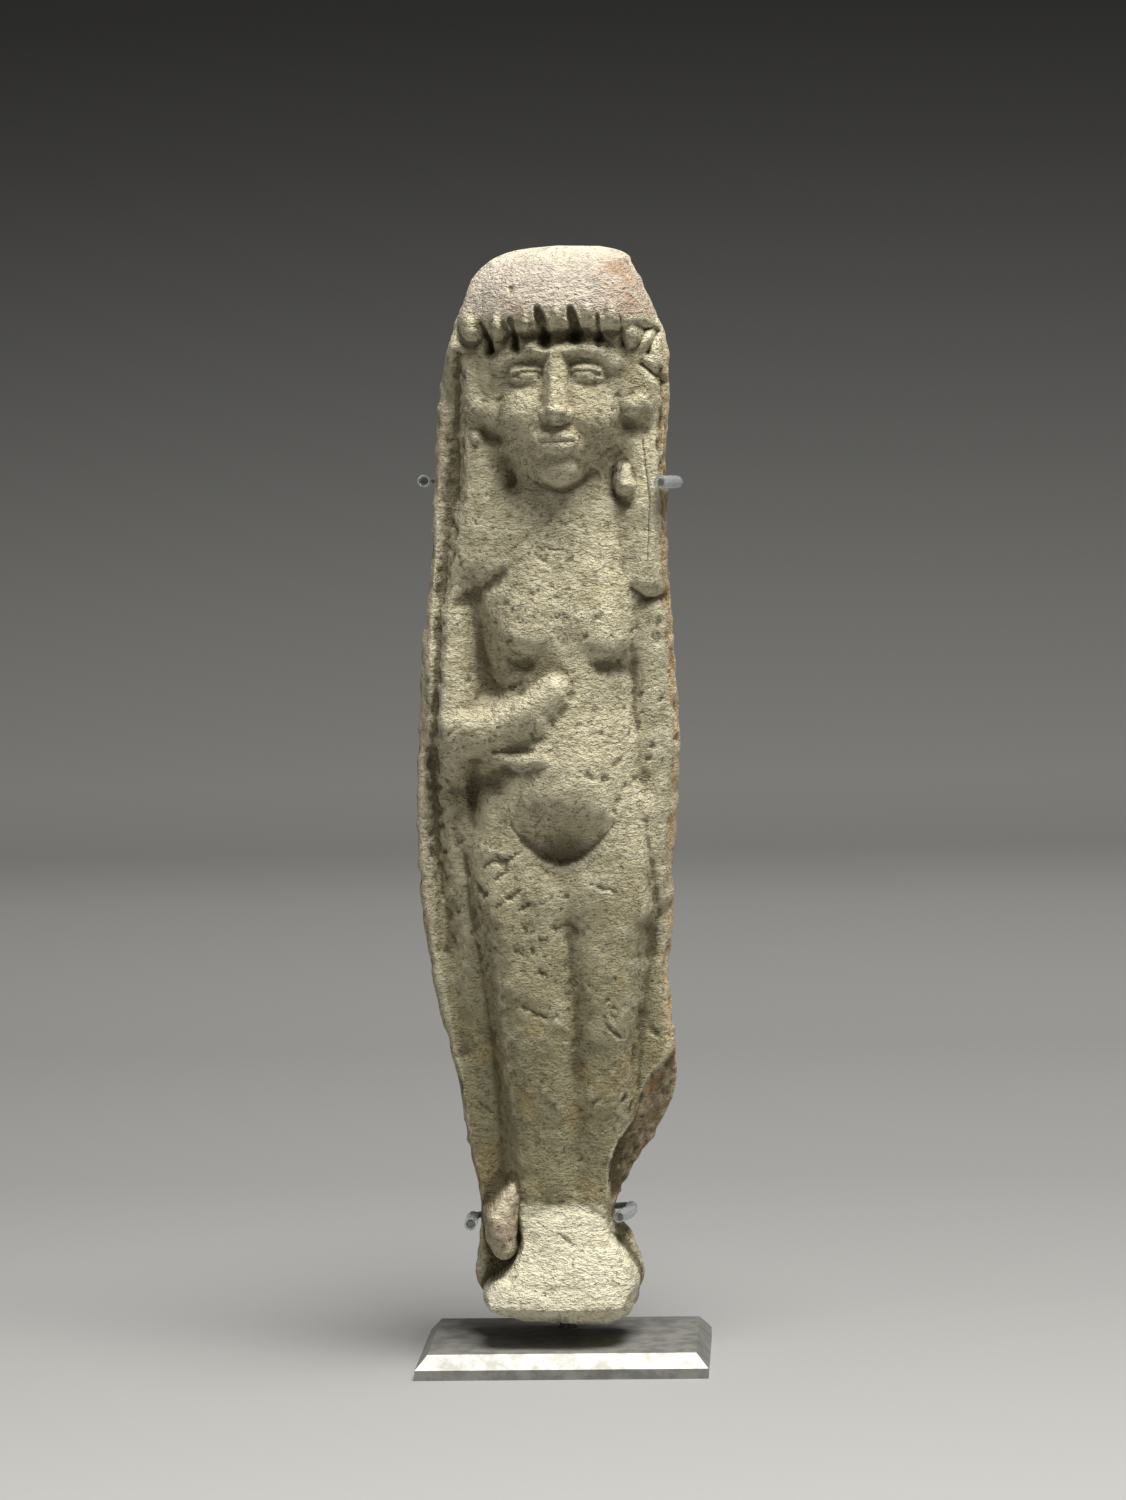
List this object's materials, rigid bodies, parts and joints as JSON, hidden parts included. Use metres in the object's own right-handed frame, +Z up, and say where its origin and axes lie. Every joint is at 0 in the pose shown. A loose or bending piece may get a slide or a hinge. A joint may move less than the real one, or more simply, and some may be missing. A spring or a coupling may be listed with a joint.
{
  "type": "archaic clay figurine on a museum stand",
  "caption": "Mould-made clay plaque figurine of a standing long-haired figure, held above a bevelled steel plate by a rod with cross wires.",
  "frame": {"origin": "centre of the steel plate's underside, on the surface that the stand stands on", "axes": "+Z up, -Y the way the figure faces, +X to the viewer's right from the front"},
  "size_m": [0.06, 0.0444, 0.2312],
  "materials": {
    "clay": "matt buff fired clay, pitted and cracked, with a paler skin",
    "plate_steel": "dark ground steel with a bright bevel",
    "rod_steel": "dark drawn steel",
    "sleeve": "clear flexible tube"
  },
  "bodies": {
    "root": {"figurine": "clay", "base_plate": "plate_steel", "support_cradle": "rod_steel", "sleeve_upper_left": "sleeve", "sleeve_upper_right": "sleeve", "sleeve_lower_left": "sleeve", "sleeve_lower_right": "sleeve"}
  },
  "joints": []
}
